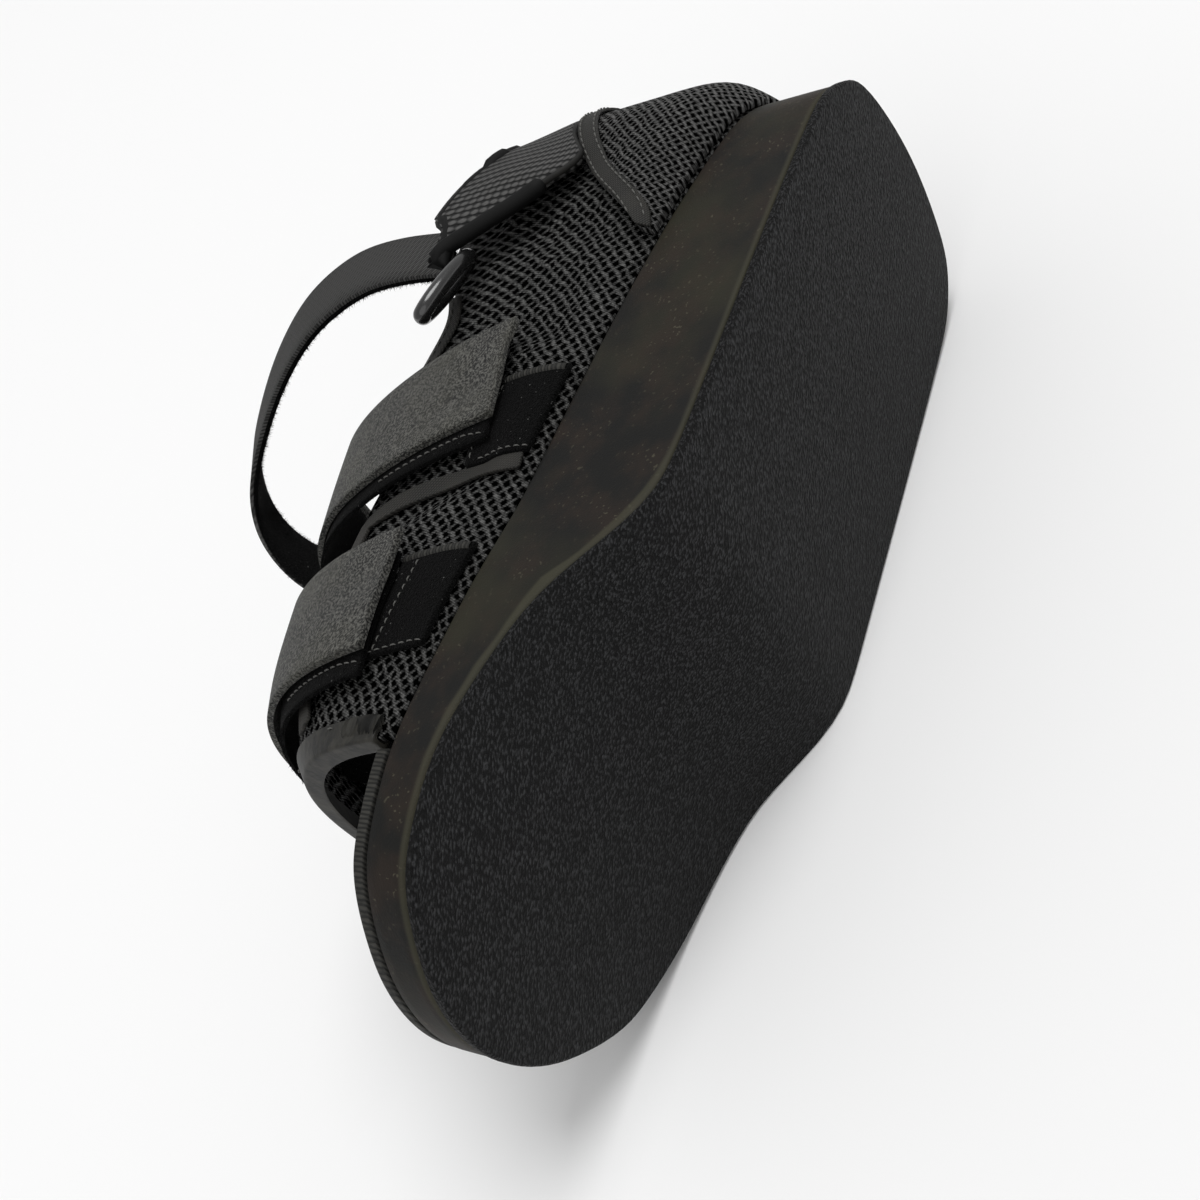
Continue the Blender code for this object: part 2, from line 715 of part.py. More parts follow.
def make_bindings():
    """The tapes on the collar, the flaps and the toe opening."""
    for side, hand in ((1, "left"), (-1, "right")):
        spans = [(x, side) for x in np.linspace(*COLLAR_TAPE, 15)]
        make_edge_tape("collar_binding_" + hand, spans, "tape")
        make_flap_piping("flap_piping_" + hand, side)
    make_toe_binding()


for old in list(bpy.data.objects):
    bpy.data.objects.remove(old, do_unlink=True)
collection = bpy.data.collections.new("post operative shoe")
bpy.context.scene.collection.children.link(collection)
lying = bpy.data.objects.new("lying shoe", None)
collection.objects.link(lying)

make_sole()
make_toe_tape()
make_upper()
make_counter()
make_belt()
make_bindings()
make_closures()
make_ring()
make_ankle_strap()

lying.rotation_euler = [math.radians(turn) for turn in LYING]
bpy.context.view_layer.update()
spots = np.array([lying.matrix_world @ v.co
                  for piece in collection.objects if piece.type == "MESH" for v in piece.data.vertices])
low, high = spots.min(axis=0), spots.max(axis=0)
lying.location = (-(low[0] + high[0]) / 2, -(low[1] + high[1]) / 2, -low[2])
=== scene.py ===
# %% [markdown]
# # A post operative shoe, lying on its side
# The shoe's shape comes from its CAD frame. This lesson gives it cloth, foam, rubber and
# light. Each step says what a finish is, how it could be made, and why it is made this way.

import math

import bmesh
import bpy
import numpy as np
from mathutils import Euler, Matrix, Vector
from mathutils.bvhtree import BVHTree
from mathutils.geometry import barycentric_transform


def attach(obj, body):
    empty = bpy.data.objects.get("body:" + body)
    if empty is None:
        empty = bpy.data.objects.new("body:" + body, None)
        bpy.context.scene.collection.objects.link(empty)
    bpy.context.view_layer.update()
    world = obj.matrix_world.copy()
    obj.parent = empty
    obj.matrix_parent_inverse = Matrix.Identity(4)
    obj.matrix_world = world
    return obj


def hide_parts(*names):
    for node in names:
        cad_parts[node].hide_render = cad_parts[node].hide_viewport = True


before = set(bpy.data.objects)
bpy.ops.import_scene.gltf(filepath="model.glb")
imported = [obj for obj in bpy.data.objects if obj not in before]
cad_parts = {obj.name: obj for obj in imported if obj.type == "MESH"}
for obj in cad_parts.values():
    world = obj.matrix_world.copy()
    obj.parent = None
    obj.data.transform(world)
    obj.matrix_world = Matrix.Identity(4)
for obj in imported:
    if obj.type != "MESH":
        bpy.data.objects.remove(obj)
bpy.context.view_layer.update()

# %% [markdown]
# ## Two frames
# The shoe lies on its right side, but it is easier to think of it standing. So places are
# written in the shoe's own frame, in millimetres: X from heel to toe, Y to its left and Z up
# from the heel tread. One matrix lays them down.

# %% The shoe's own frame
LAID_TURN = (80.682, -0.890, 180.0)
LAID_PLACE = (0.136797, -0.117866, 0.047538)
shoe_to_row = (Matrix.Translation(LAID_PLACE)
               @ Euler([math.radians(a) for a in LAID_TURN]).to_matrix().to_4x4()
               @ Matrix.Scale(0.001, 4))
row_to_shoe = np.array(shoe_to_row.inverted())
shoe_to_row_array = np.array(shoe_to_row)


def in_shoe(points):
    """Row-frame points, in metres, as an array in the shoe's frame, in millimetres."""
    return points @ row_to_shoe[:3, :3].T + row_to_shoe[:3, 3]


def in_row(spot):
    """A spot of the shoe's frame, in the row frame."""
    return shoe_to_row @ Vector(spot)


def points_of(mesh):
    """A mesh's points as an array."""
    flat = np.zeros(len(mesh.vertices) * 3, np.float32)
    mesh.vertices.foreach_get("co", flat)
    return flat.reshape(-1, 3).astype(float)


def move_points(mesh, places):
    """Move a mesh's points to places in the shoe's frame."""
    moved = places @ shoe_to_row_array[:3, :3].T + shoe_to_row_array[:3, 3]
    mesh.vertices.foreach_set("co", moved.astype(np.float32).ravel())
    mesh.update()


# %% [markdown]
# ## Finer copies
# The CAD pieces have flat facets, which would show on a curved upper. A finer copy joins the
# triangles back into quads, holds the sharp edges with creases, and subdivides. Rebuilding
# every form from its sections would do as well, but it would say the same shapes twice.

# %% Make a finer copy of a CAD piece
def finer(node, name, levels=2, hold_angle=35, crease=1.0):
    """A subdivided copy of a CAD node that stands for it, with smooth shading."""
    work = bmesh.new()
    work.from_mesh(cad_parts[node].data)
    bmesh.ops.remove_doubles(work, verts=work.verts, dist=0.00002)
    bmesh.ops.join_triangles(work, faces=work.faces, angle_face_threshold=math.radians(30),
                             angle_shape_threshold=math.radians(70))
    held = work.edges.layers.float.new("crease_edge")
    for edge in work.edges:
        if len(edge.link_faces) == 2 and edge.calc_face_angle() > math.radians(hold_angle):
            edge[held] = crease
    cage = bpy.data.meshes.new(name + "_cage")
    work.to_mesh(cage)
    work.free()
    piece = bpy.data.objects.new(name, cage)
    bpy.context.scene.collection.objects.link(piece)
    piece.modifiers.new("finer", "SUBSURF").levels = levels
    bpy.context.view_layer.update()
    mesh = bpy.data.meshes.new_from_object(piece.evaluated_get(bpy.context.evaluated_depsgraph_get()))
    piece.modifiers.clear()
    piece.data = mesh
    mesh.name = name
    mesh.materials.clear()
    mesh.shade_smooth()
    mesh.set_sharp_from_angle(angle=math.radians(50))
    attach(piece, "root")
    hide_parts(node)
    return piece


# %% [markdown]
# ## Soft creases
# Cloth that has been handled is never as even as its pattern. Each row below is a short soft
# trough, or a ridge where its depth is below zero, pressed towards the shoe's middle. All
# the layers over it move together, so none of them cuts through another.

# %% Where the cloth gives
CREASES = (
    # one end, other end (in the shoe's frame, mm), width, depth
    ((96, 44, 96), (104, 50, 62), 7.0, 2.2),
    ((108, 44, 92), (114, 50, 60), 6.0, -1.4),
    ((84, 46, 84), (92, 52, 56), 7.0, 1.7),
    ((60, 52, 88), (66, 56, 48), 9.0, 2.0),
    ((30, 50, 100), (44, 56, 70), 9.0, 2.1),
    ((12, 42, 92), (26, 50, 62), 8.0, -1.5),
    ((-2, 12, 105), (-4, 22, 70), 10.0, 2.2),
    ((20, 50, 118), (54, 52, 110), 7.0, 1.8),
    ((128, 50, 78), (146, 38, 110), 8.0, 2.0),
    ((142, 20, 126), (150, -14, 126), 9.0, 2.1),
    ((152, 54, 64), (166, 46, 92), 6.0, 1.8),
    ((160, 54, 62), (172, 50, 84), 5.0, -1.2),
    ((190, 52, 80), (206, 38, 100), 8.0, 2.0),
    ((206, 20, 108), (212, -16, 108), 9.0, 2.0),
    ((218, 50, 62), (230, 40, 78), 5.0, 1.4),
    ((96, -44, 96), (106, -52, 62), 8.0, 2.1),
    ((30, -50, 100), (46, -56, 70), 9.0, 2.0),
    ((150, -50, 92), (160, -54, 66), 7.0, 1.7),
)
GIVING = {"upper", "heel_counter", "counter_binding", "collar_belt", "collar_binding_left",
          "collar_binding_right", "flap_piping_left", "flap_piping_right", "mid_strap",
          "mid_strap_lining", "front_strap", "front_strap_lining", "mid_pad", "front_pad"}
FOOT_LINE = 48.0       # the cloth is fixed at the wedge, and gives in full this much above it
FOOT_REACH = 16.0
HEEL_TURN = 46.0       # the heel's cloth turns about this distance from the heel
ARCH_FLOOR = 45.0      # height that the arch's angle is measured from


def press(points):
    """The same points with the creases pressed into them."""
    sunk = np.zeros(len(points))
    for one, other, width, depth in CREASES:
        one, run = np.array(one, float), np.subtract(other, one).astype(float)
        share = np.clip((points - one) @ run / (run @ run), 0, 1)
        away = np.linalg.norm(points - one - share[:, None] * run, axis=1)
        sunk += depth * np.exp(-(away / width) ** 2)
    inward = np.stack([np.clip(HEEL_TURN - points[:, 0], 0, None), -points[:, 1],
                       ARCH_FLOOR - points[:, 2]], 1)
    inward /= np.linalg.norm(inward, axis=1)[:, None] + 1e-9
    free = np.clip((points[:, 2] - FOOT_LINE) / FOOT_REACH, 0, 1)
    return points + inward * (sunk * free * free * (3 - 2 * free))[:, None]


def give(piece):
    """Press the creases into a piece."""
    move_points(piece.data, press(in_shoe(points_of(piece.data))))


# %% [markdown]
# ## Cloth coordinates
# A weave has to follow the cloth, so each piece gets a flat map in millimetres. On the upper
# the map runs along the foot and up the arch, and it turns round the heel. On a strap it
# runs across and along the strap.

# %% Flat maps in millimetres
HEEL_RADIUS = 52.0
ARCH_RADIUS = 56.0
STRAP_SLANT = 0.25
LOOP_MIDDLE = 175.0
LOOP_RADIUS = 60.0


def wrapped(p):
    """Along the foot, round the heel, and up the arch."""
    turn = np.arctan2(HEEL_TURN - p[:, 0], np.abs(p[:, 1]) + 1e-6)
    along = np.where(p[:, 0] < HEEL_TURN, HEEL_TURN - HEEL_RADIUS * turn, p[:, 0])
    up = ARCH_RADIUS * np.arctan2(p[:, 2] - ARCH_FLOOR, np.abs(p[:, 1]) + 1e-6)
    heel = np.clip((HEEL_TURN - p[:, 0]) / HEEL_TURN, 0, 1)
    return np.stack([along, up * (1 - heel) + (p[:, 2] - ARCH_FLOOR) * heel], 1)


def strapped(p):
    """Across the strap, then along it."""
    across = p[:, 0] - STRAP_SLANT * p[:, 2]
    return np.stack([across, ARCH_RADIUS * np.arctan2(p[:, 2] - ARCH_FLOOR, p[:, 1])], 1)


def looped(p):
    """Across the ankle strap, then round its loop."""
    across = 0.86 * p[:, 0] - 0.51 * p[:, 2]
    return np.stack([across, LOOP_RADIUS * np.arctan2(p[:, 2] - LOOP_MIDDLE, p[:, 1])], 1)


def soled(p):
    """Along the sole, then up from the tread."""
    sole = in_shoe(points_of(made_pieces["outsole"].data))
    spots = np.arange(3.0, 285.0, 6.0)
    heights = [sole[np.abs(sole[:, 0] - x) < 6.0, 2].max() for x in spots]
    return np.stack([p[:, 0], p[:, 2] - np.interp(p[:, 0], spots, heights)], 1)


def lay_map(piece, flatten):
    """Write a piece's flat map, in millimetres, as the UV layer that its weave reads."""
    flat = flatten(in_shoe(points_of(piece.data)))
    corners = np.zeros(len(piece.data.loops), np.int32)
    piece.data.loops.foreach_get("vertex_index", corners)
    layer = piece.data.uv_layers.new(name="cloth")
    layer.data.foreach_set("uv", flat[corners].astype(np.float32).ravel())


# %% [markdown]
# ## Shared effects
# Every finish below is built from a few node groups. A group gives out only masks, heights
# and colours, and each material keeps its own shader.

# %% Small helpers for nodes
def join(tree, node, socket, value):
    """Set an input to a number or colour, or link it to an output."""
    if isinstance(value, bpy.types.NodeSocket):
        tree.links.new(value, node.inputs[socket])
    else:
        node.inputs[socket].default_value = value


def calc(tree, operation, a, b=0.0, c=0.0):
    node = tree.nodes.new("ShaderNodeMath")
    node.operation = operation
    for i, value in enumerate((a, b, c)):
        if len(node.inputs) > i:
            join(tree, node, i, value)
    return node.outputs[0]


def blend(tree, share, first, second):
    """A colour or value between two others."""
    node = tree.nodes.new("ShaderNodeMix")
    node.data_type = "RGBA"
    join(tree, node, 0, share)
    join(tree, node, 6, first)
    join(tree, node, 7, second)
    return node.outputs[2]


def step_up(tree, value, low, high):
    """0 below low, 1 above high, and smooth between."""
    node = tree.nodes.new("ShaderNodeMapRange")
    node.interpolation_type = "SMOOTHSTEP"
    for socket, number in (("Value", value), ("From Min", low), ("From Max", high)):
        join(tree, node, socket, number)
    return node.outputs[0]


def noise(tree, vector, scale, detail=2.0, roughness=0.5):
    node = tree.nodes.new("ShaderNodeTexNoise")
    for socket, value in (("Vector", vector), ("Scale", scale), ("Detail", detail), ("Roughness", roughness)):
        join(tree, node, socket, value)
    return node.outputs[0]


def new_group(name, inputs, outputs):
    """An empty node group, its input node and its output node."""
    group = bpy.data.node_groups.new(name, "ShaderNodeTree")
    for label, kind, value in inputs:
        socket = group.interface.new_socket(label, in_out="INPUT", socket_type="NodeSocket" + kind)
        if value is not None:
            socket.default_value = value
    for label, kind in outputs:
        group.interface.new_socket(label, in_out="OUTPUT", socket_type="NodeSocket" + kind)
    return group, group.nodes.new("NodeGroupInput"), group.nodes.new("NodeGroupOutput")


# %% [markdown]
# ### The open net
# Two sets of slanting threads cross and pass over and under each other, with dark holes
# between them. The Thread mask rises across each thread towards its crest, so a colour mixed
# by it paints a highlight along the crests. Real threads would cost a million faces, and a
# picture would not scale.

# %% The open net
FIRST_THREADS = 0.72   # how high each set of threads lies
SECOND_THREADS = 0.58
OVER_RISE = 0.28       # the rise where a thread passes over another
THREAD_ROUND = 0.6     # below 1, a thread's section is rounder
net, given, made = new_group("open net", [("Map", "Vector", None), ("Pitch", "Float", 3.2),
                                          ("Thread", "Float", 0.5)],
                             [("Thread", "Float"), ("Height", "Float")])
parts = net.nodes.new("ShaderNodeSeparateXYZ")
net.links.new(given.outputs["Map"], parts.inputs[0])
wobble = calc(net, "SUBTRACT", noise(net, given.outputs["Map"], 0.22, 2.0), 0.5)
wobble = calc(net, "MULTIPLY", wobble, 0.5)
across = calc(net, "ADD", calc(net, "DIVIDE", parts.outputs[0], given.outputs["Pitch"]), wobble)
along = calc(net, "ADD", calc(net, "DIVIDE", parts.outputs[1], given.outputs["Pitch"]), wobble)
rises = []
half_lanes = calc(net, "ADD", calc(net, "MULTIPLY", across, 2.0), 0.5)
crossing = calc(net, "PINGPONG", calc(net, "FLOOR", half_lanes), 1.0)
under = calc(net, "SUBTRACT", 1.0, crossing)
for sign, over, weight in ((1.0, crossing, FIRST_THREADS), (-1.0, under, SECOND_THREADS)):
    lane = calc(net, "ADD", across, calc(net, "MULTIPLY", along, sign))
    away = calc(net, "MULTIPLY", calc(net, "PINGPONG", lane, 0.5), 2.0)
    rise = calc(net, "SUBTRACT", 1.0, calc(net, "DIVIDE", away, given.outputs["Thread"]))
    rise = calc(net, "POWER", calc(net, "MAXIMUM", rise, 0.0), THREAD_ROUND)
    lie = calc(net, "ADD", weight, calc(net, "MULTIPLY", over, OVER_RISE))
    rises.append(calc(net, "MULTIPLY", rise, lie))
height = calc(net, "MAXIMUM", *rises)
twist = calc(net, "ADD", parts.outputs[0], calc(net, "MULTIPLY", parts.outputs[1], 0.35))
strands = calc(net, "MULTIPLY", calc(net, "SINE", calc(net, "MULTIPLY", twist, 9.0)), 0.16)
height = calc(net, "MULTIPLY", height, calc(net, "ADD", 0.92, strands))
net.links.new(height, made.inputs["Height"])
# Thread mask: 0 in the holes, rising to 1 at a thread's crest; colour mixed by it is a painted highlight
# along the crests
net.links.new(step_up(net, height, 0.24, 0.98), made.inputs["Thread"])

# %% [markdown]
# ### Ribs
# Tape, knitted columns and twill are all ribs: one wave across the cloth, cut into short
# bars along it. The bars slant when the map is turned before it comes in.

# %% Ribs, cut into bars
ribs, given, made = new_group("ribs", [("Map", "Vector", None), ("Pitch", "Float", 1.0),
                                       ("Bar", "Float", 1.0), ("Turn", "Float", 0.0),
                                       ("Stagger", "Float", 0.5)],
                              [("Bars", "Float"), ("Height", "Float")])
turned = ribs.nodes.new("ShaderNodeVectorRotate")
turned.rotation_type = "Z_AXIS"
ribs.links.new(given.outputs["Map"], turned.inputs["Vector"])
ribs.links.new(given.outputs["Turn"], turned.inputs["Angle"])
parts = ribs.nodes.new("ShaderNodeSeparateXYZ")
ribs.links.new(turned.outputs[0], parts.inputs[0])
column = calc(ribs, "DIVIDE", parts.outputs[0], given.outputs["Pitch"])
column_rise = calc(ribs, "MULTIPLY", calc(ribs, "PINGPONG", column, 0.5), 2.0)
offset = calc(ribs, "MULTIPLY", calc(ribs, "FLOOR", column), given.outputs["Stagger"])
bar = calc(ribs, "ADD", calc(ribs, "DIVIDE", parts.outputs[1], given.outputs["Bar"]), offset)
bar_rise = calc(ribs, "MULTIPLY", calc(ribs, "PINGPONG", bar, 0.5), 2.0)
height = calc(ribs, "ADD", 0.45, calc(ribs, "MULTIPLY", bar_rise, 0.55))
height = calc(ribs, "MULTIPLY", calc(ribs, "POWER", column_rise, 0.6), height)
ribs.links.new(height, made.inputs["Height"])
ribs.links.new(step_up(ribs, height, 0.25, 0.7), made.inputs["Bars"])

# %% [markdown]
# ### Speckle
# A brushed cloth and a pile have no lines to follow, only tufts. Two sizes of noise make
# tufts and the paler ends of single fibres.

# %% Speckled tufts
tufts, given, made = new_group("tufts", [("Map", "Vector", None), ("Fineness", "Float", 3.0)],
                               [("Tips", "Float"), ("Height", "Float")])
fine = noise(tufts, given.outputs["Map"], given.outputs["Fineness"], 1.0, 0.6)
coarse = noise(tufts, given.outputs["Map"], calc(tufts, "MULTIPLY", given.outputs["Fineness"], 0.3), 2.0)
height = calc(tufts, "ADD", calc(tufts, "MULTIPLY", fine, 0.7), calc(tufts, "MULTIPLY", coarse, 0.3))
tufts.links.new(height, made.inputs["Height"])
tufts.links.new(step_up(tufts, fine, 0.40, 0.66), made.inputs["Tips"])

# %% [markdown]
# ### Cloudy wear
# Foam and rubber pick up faint patches of another tone. This is a broad, soft noise with
# small specks on top.

# %% Cloudy wear and specks
wear, given, made = new_group("wear", [("Map", "Vector", None), ("Size", "Float", 0.03)],
                              [("Cloud", "Float"), ("Specks", "Float")])
cloud = noise(wear, given.outputs["Map"], given.outputs["Size"], 3.0, 0.6)
wear.links.new(step_up(wear, cloud, 0.38, 0.68), made.inputs["Cloud"])
speck = noise(wear, given.outputs["Map"], 0.9, 1.0)
wear.links.new(step_up(wear, speck, 0.66, 0.72), made.inputs["Specks"])


# %% [markdown]
# ### Starting a material
# Every finish needs the same start: a shader, the cloth map in millimetres and the place on
# the shoe in millimetres. The net serves three pieces, so it has a function of its own.

# %% Start a material
def use_group(tree, group, **values):
    node = tree.nodes.new("ShaderNodeGroup")
    node.node_tree = group
    for socket, value in values.items():
        join(tree, node, socket, value)
    return node


def new_material(name, roughness, colour=(0.02, 0.02, 0.02, 1), shine=0.2):
    """A material, its shader, its cloth map and its place in the row frame in millimetres."""
    material = bpy.data.materials.new(name)
    material.use_nodes = True
    tree = material.node_tree
    shader = tree.nodes["Principled BSDF"]
    shader.inputs["Roughness"].default_value = roughness
    shader.inputs["Base Color"].default_value = colour
    shader.inputs["Specular IOR Level"].default_value = shine
    flat = tree.nodes.new("ShaderNodeUVMap")
    flat.uv_map = "cloth"
    place = tree.nodes.new("ShaderNodeTexCoord")
    scaled = tree.nodes.new("ShaderNodeVectorMath")
    scaled.operation = "SCALE"
    tree.links.new(place.outputs["Object"], scaled.inputs[0])
    scaled.inputs["Scale"].default_value = 1000
    return material, tree, shader, flat.outputs[0], scaled.outputs[0]


def emboss(tree, shader, height, depth, strength=1.0):
    """Raise a surface by a height, in metres for a full step."""
    bump = tree.nodes.new("ShaderNodeBump")
    join(tree, bump, "Height", height)
    bump.inputs["Distance"].default_value = depth
    bump.inputs["Strength"].default_value = strength
    tree.links.new(bump.outputs[0], shader.inputs["Normal"])


def net_material(name, pitch, thread, hole, strand, depth):
    material, tree, shader, flat, place = new_material(name, 0.62)
    pattern = use_group(tree, net, Map=flat, Pitch=pitch, Thread=thread)
    lint = step_up(tree, noise(tree, place, 0.9, 2.0), 0.30, 0.70)
    # threads are painted lighter towards their crests as a painted highlight, and lint noise varies their
    # tone at random
    lit = calc(tree, "MULTIPLY", pattern.outputs["Thread"], calc(tree, "ADD", 0.35, lint))
    join(tree, shader, "Base Color", blend(tree, lit, (*hole, 1), (*strand, 1)))
    join(tree, shader, "Specular IOR Level", calc(tree, "MULTIPLY", pattern.outputs["Thread"], 0.35))
    emboss(tree, shader, pattern.outputs["Height"], depth)
    return material


# %% [markdown]
# ## The sole's finishes
# The tread is charcoal rubber with a fine leathery pebble, whose tops carry a painted
# highlight and whose pits carry painted shade. The wedge is black foam with olive and brown
# clouds and a paler line where the tread is bonded on.

# %% Tread, foam and board
tread_rubber, tree, shader, flat, place = new_material("tread rubber", 0.66, shine=0.16)
cells = tree.nodes.new("ShaderNodeTexVoronoi")
cells.feature = "SMOOTH_F1"
stretch = tree.nodes.new("ShaderNodeMapping")
tree.links.new(place, stretch.inputs["Vector"])
stretch.vector_type = "TEXTURE"
stretch.inputs["Scale"].default_value = (1.3, 0.6, 0.55)
stretch.inputs["Rotation"].default_value = (0.0, -0.571, 0.0)
warp = tree.nodes.new("ShaderNodeMixRGB")
warp.blend_type = "LINEAR_LIGHT"
warp.inputs[0].default_value = 0.4
tree.links.new(stretch.outputs[0], warp.inputs[1])
ripple = tree.nodes.new("ShaderNodeTexNoise")
ripple.inputs["Scale"].default_value = 0.5
tree.links.new(stretch.outputs[0], ripple.inputs["Vector"])
tree.links.new(ripple.outputs["Color"], warp.inputs[2])
tree.links.new(warp.outputs[0], cells.inputs["Vector"])
cells.inputs["Scale"].default_value = 1.0
roughening = calc(tree, "MULTIPLY", noise(tree, place, 2.0, 2.0), 0.35)
grain = calc(tree, "ADD", cells.outputs["Distance"], roughening)
# colour follows the pebble's relief: tops painted lighter as a painted highlight, pits painted near black as
# painted shade, over the rubber's own charcoal
painted_pit_shade = step_up(tree, grain, 0.22, 0.70)
join(tree, shader, "Base Color", blend(tree, painted_pit_shade, (0.034, 0.0345, 0.036, 1), (0.0008, 0.0008, 0.0009, 1)))
emboss(tree, shader, calc(tree, "SUBTRACT", 1.0, grain), 0.0010, 1.0)

wedge_foam, tree, shader, flat, place = new_material("wedge foam", 0.60, shine=0.14)
clouds = use_group(tree, wear, Map=place, Size=0.022)
fine_clouds = use_group(tree, wear, Map=place, Size=0.07)
above = tree.nodes.new("ShaderNodeSeparateXYZ")
tree.links.new(flat, above.inputs[0])
base = blend(tree, clouds.outputs["Cloud"], (0.008, 0.008, 0.0075, 1), (0.020, 0.019, 0.012, 1))
base = blend(tree, calc(tree, "MULTIPLY", fine_clouds.outputs["Cloud"], 0.5), base, (0.027, 0.018, 0.013, 1))
gathered = calc(tree, "MULTIPLY", clouds.outputs["Specks"], fine_clouds.outputs["Cloud"])
base = blend(tree, calc(tree, "MULTIPLY", gathered, 0.6), base, (0.085, 0.080, 0.055, 1))
line = calc(tree, "SUBTRACT", 1.0, step_up(tree, above.outputs[1], 0.9, 2.4))
base = blend(tree, calc(tree, "MULTIPLY", line, 0.6), base, (0.050, 0.048, 0.031, 1))
join(tree, shader, "Base Color", base)
emboss(tree, shader, noise(tree, place, 1.6, 3.0, 0.65), 0.00022, 0.6)

board, tree, shader, flat, place = new_material("footbed board", 0.8)
emboss(tree, shader, noise(tree, place, 1.2, 3.0), 0.0002)

# %% [markdown]
# ## Cloth finishes
# Net for the upper and the heel cup, knitted bars for the collar belt, brushed grey cloth
# for the straps, black pile beneath them, and ribbed tape for each edge.

# %% Net, knit and tape
upper_net = net_material("upper net", 4.0, 0.66, (0.0006, 0.0006, 0.0006), (0.125, 0.125, 0.121), 0.0016)
heel_net = net_material("heel net", 2.9, 0.74, (0.0008, 0.0008, 0.0008), (0.120, 0.119, 0.116), 0.0012)
inner_net = net_material("insole cloth", 1.6, 0.8, (0.006, 0.006, 0.006), (0.03, 0.03, 0.03), 0.0003)

belt_knit, tree, shader, flat, place = new_material("belt knit", 0.7)
bars = use_group(tree, ribs, Map=flat, Pitch=2.9, Bar=1.35, Turn=0.0, Stagger=0.0)
lint = noise(tree, place, 0.6, 2.0)
lit = calc(tree, "MULTIPLY", bars.outputs["Bars"], calc(tree, "ADD", 0.45, lint))
join(tree, shader, "Base Color", blend(tree, lit, (0.001, 0.001, 0.001, 1), (0.080, 0.079, 0.077, 1)))
emboss(tree, shader, bars.outputs["Height"], 0.0008)

folded_tape, tree, shader, flat, place = new_material("folded tape", 0.65)
bars = use_group(tree, ribs, Map=flat, Pitch=0.7, Bar=0.9, Turn=0.9)
cloud = use_group(tree, wear, Map=place, Size=0.05)
base = blend(tree, bars.outputs["Bars"], (0.008, 0.008, 0.0075, 1), (0.034, 0.033, 0.030, 1))
dusty = calc(tree, "MULTIPLY", cloud.outputs["Cloud"], 0.4)
join(tree, shader, "Base Color", blend(tree, dusty, base, (0.036, 0.033, 0.028, 1)))
emboss(tree, shader, bars.outputs["Height"], 0.0002)

smooth_tape, tree, shader, flat, place = new_material("smooth tape", 0.55)
broad = use_group(tree, wear, Map=place, Size=0.10)
small = use_group(tree, wear, Map=place, Size=0.35)
base = blend(tree, broad.outputs["Cloud"], (0.010, 0.010, 0.0095, 1), (0.030, 0.0285, 0.024, 1))
base = blend(tree, calc(tree, "MULTIPLY", small.outputs["Cloud"], 0.3), base, (0.055, 0.052, 0.043, 1))
join(tree, shader, "Base Color", base)
emboss(tree, shader, noise(tree, place, 0.45, 3.0), 0.0003, 0.5)

ribbed_tape, tree, shader, flat, place = new_material("ribbed tape", 0.7)
bars = use_group(tree, ribs, Map=flat, Pitch=0.95, Bar=9.0, Turn=0.0)
base = blend(tree, bars.outputs["Bars"], (0.012, 0.012, 0.011, 1), (0.036, 0.035, 0.031, 1))
join(tree, shader, "Base Color", base)
emboss(tree, shader, bars.outputs["Height"], 0.00025)

# %% [markdown]
# ### Straps and linings
# The strap cloth is brushed, so it is tufts over a faint weave. The ankle webbing is a plain
# twill. Pile is nearly black, with a few bright specks painted into its colour as glints, a
# painted highlight.

# %% Strap cloth, twill and pile
strap_cloth, tree, shader, flat, place = new_material("strap cloth", 0.85)
tuft = use_group(tree, tufts, Map=place, Fineness=1.5)
weave = use_group(tree, ribs, Map=flat, Pitch=0.9, Bar=0.9, Turn=0.6)
cloud = use_group(tree, wear, Map=place, Size=0.035)
grey = blend(tree, tuft.outputs["Tips"], (0.005, 0.005, 0.005, 1), (0.098, 0.097, 0.088, 1))
grey = blend(tree, calc(tree, "MULTIPLY", cloud.outputs["Cloud"], 0.25), grey, (0.072, 0.070, 0.052, 1))
join(tree, shader, "Base Color", grey)
shader.inputs["Sheen Weight"].default_value = 0.08
shader.inputs["Sheen Roughness"].default_value = 0.5
raised = calc(tree, "ADD", tuft.outputs["Height"], calc(tree, "MULTIPLY", weave.outputs["Height"], 0.25))
emboss(tree, shader, raised, 0.0005)

ankle_twill, tree, shader, flat, place = new_material("ankle twill", 0.7)
bars = use_group(tree, ribs, Map=flat, Pitch=1.15, Bar=3.0, Turn=0.85)
lint = noise(tree, place, 2.0, 2.0)
base = blend(tree, bars.outputs["Bars"], (0.004, 0.004, 0.004, 1), (0.062, 0.061, 0.060, 1))
join(tree, shader, "Base Color", blend(tree, calc(tree, "MULTIPLY", lint, 0.3), base, (0.06, 0.06, 0.056, 1)))
emboss(tree, shader, bars.outputs["Height"], 0.0003)

black_pile, tree, shader, flat, place = new_material("black pile", 0.95, shine=0.05)
tuft = use_group(tree, tufts, Map=place, Fineness=2.4)
# bright specks painted into the pile's colour: painted glints, a painted highlight
painted_glint_noise = noise(tree, place, 1.1, 1.0)
painted_glints = step_up(tree, painted_glint_noise, 0.73, 0.80)
base = blend(tree, tuft.outputs["Tips"], (0.0004, 0.0004, 0.0004, 1), (0.004, 0.004, 0.004, 1))
painted_glints = calc(tree, "MULTIPLY", painted_glints, 0.7)
join(tree, shader, "Base Color", blend(tree, painted_glints, base, (0.16, 0.16, 0.155, 1)))
shader.inputs["Sheen Weight"].default_value = 0.02
emboss(tree, shader, tuft.outputs["Height"], 0.0010)

# %% [markdown]
# ## The ring's plastic
# Moulded black plastic is glossy but never quite clean. A little noise in the roughness
# breaks the highlight, and a clear coat keeps it bright.

